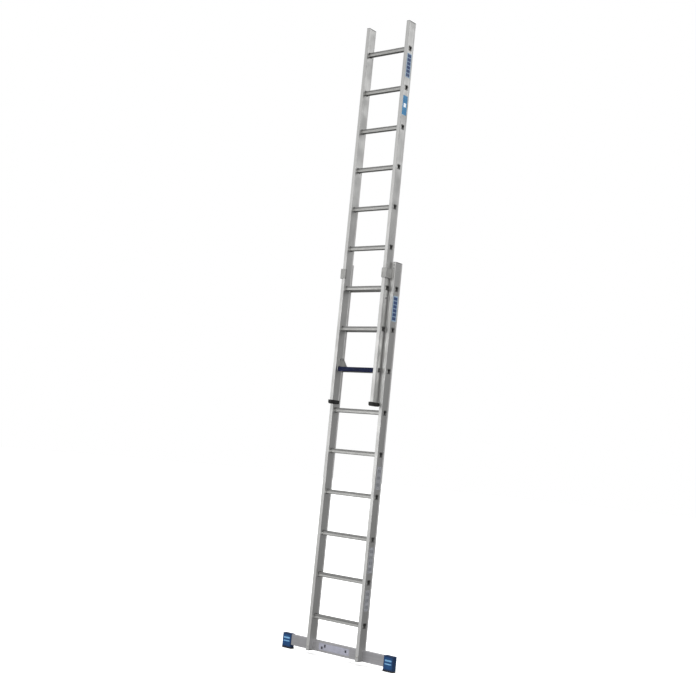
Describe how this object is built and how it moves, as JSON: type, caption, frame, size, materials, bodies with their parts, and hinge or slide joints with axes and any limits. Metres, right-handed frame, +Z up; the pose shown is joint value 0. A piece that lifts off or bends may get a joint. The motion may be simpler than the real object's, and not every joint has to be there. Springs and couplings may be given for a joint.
{
  "type": "extension ladder",
  "caption": "Two-section aluminium extension ladder: a narrower fly section slides up in front of a wider base on a stabiliser bar with rubber-soled shoes.",
  "frame": {"origin": "on the floor under the middle of the whole ladder's box, with the ladder upright", "axes": "+Z up along the stiles, +X to the right for someone facing the climbing side, +Y from the climbing side towards the wall"},
  "size_m": [0.9564, 0.1572, 4.367],
  "materials": {
    "stile_aluminium": "extruded, satin",
    "rung_aluminium": "extruded, satin",
    "bar_aluminium": "extruded, satin",
    "hook_aluminium": "stamped, matte",
    "guide_cast": "die-cast, matte",
    "rung_blue": "gloss enamel",
    "shoe_blue": "moulded, satin",
    "rubber_black": "moulded, matte",
    "plug_dark": "moulded, matte",
    "bolt_steel": "zinc-plated",
    "rivet_steel": "plain"
  },
  "bodies": {
    "base": {"base_stile_left": "stile_aluminium", "base_stile_right": "stile_aluminium", "base_rung_1": "rung_aluminium", "base_rung_2": "rung_aluminium", "base_rung_3": "rung_aluminium", "base_rung_4": "rung_aluminium", "base_rung_5": "rung_aluminium", "base_rung_6": "rung_aluminium", "base_rung_7": "rung_aluminium", "base_rung_8": "rung_aluminium", "base_rung_9": "rung_aluminium", "base_top_plug_left": "plug_dark", "base_top_plug_right": "plug_dark", "base_foot_plug_left": "plug_dark", "base_foot_plug_right": "plug_dark", "stabiliser_bar": "bar_aluminium", "bar_bolts": "bolt_steel", "bar_washers": "bolt_steel", "bar_nuts": "bolt_steel", "bar_sleeves": "bolt_steel", "shoe_left": "shoe_blue", "shoe_right": "shoe_blue", "shoe_sole_left": "rubber_black", "shoe_sole_right": "rubber_black", "guide_left": "guide_cast", "guide_right": "guide_cast", "guide_rivets": "rivet_steel", "top_plug_rivets": "rivet_steel"},
    "fly": {"fly_stile_left": "stile_aluminium", "fly_stile_right": "stile_aluminium", "fly_rung_1": "rung_blue", "fly_rung_2": "rung_aluminium", "fly_rung_3": "rung_aluminium", "fly_rung_4": "rung_aluminium", "fly_rung_5": "rung_aluminium", "fly_rung_6": "rung_aluminium", "fly_rung_7": "rung_aluminium", "fly_rung_8": "rung_aluminium", "fly_rung_9": "rung_aluminium", "fly_top_plug_left": "plug_dark", "fly_top_plug_right": "plug_dark", "fly_foot_left": "rubber_black", "fly_foot_right": "rubber_black", "hook_left": "hook_aluminium", "hook_right": "hook_aluminium", "hook_rivets": "rivet_steel", "stop_rivets": "rivet_steel"}
  },
  "joints": [
    {"name": "fly_slide", "type": "slide", "parent": "base", "child": "fly", "axis": [0, 0, 1], "range_m": [-1.68, 0.13]}
  ]
}
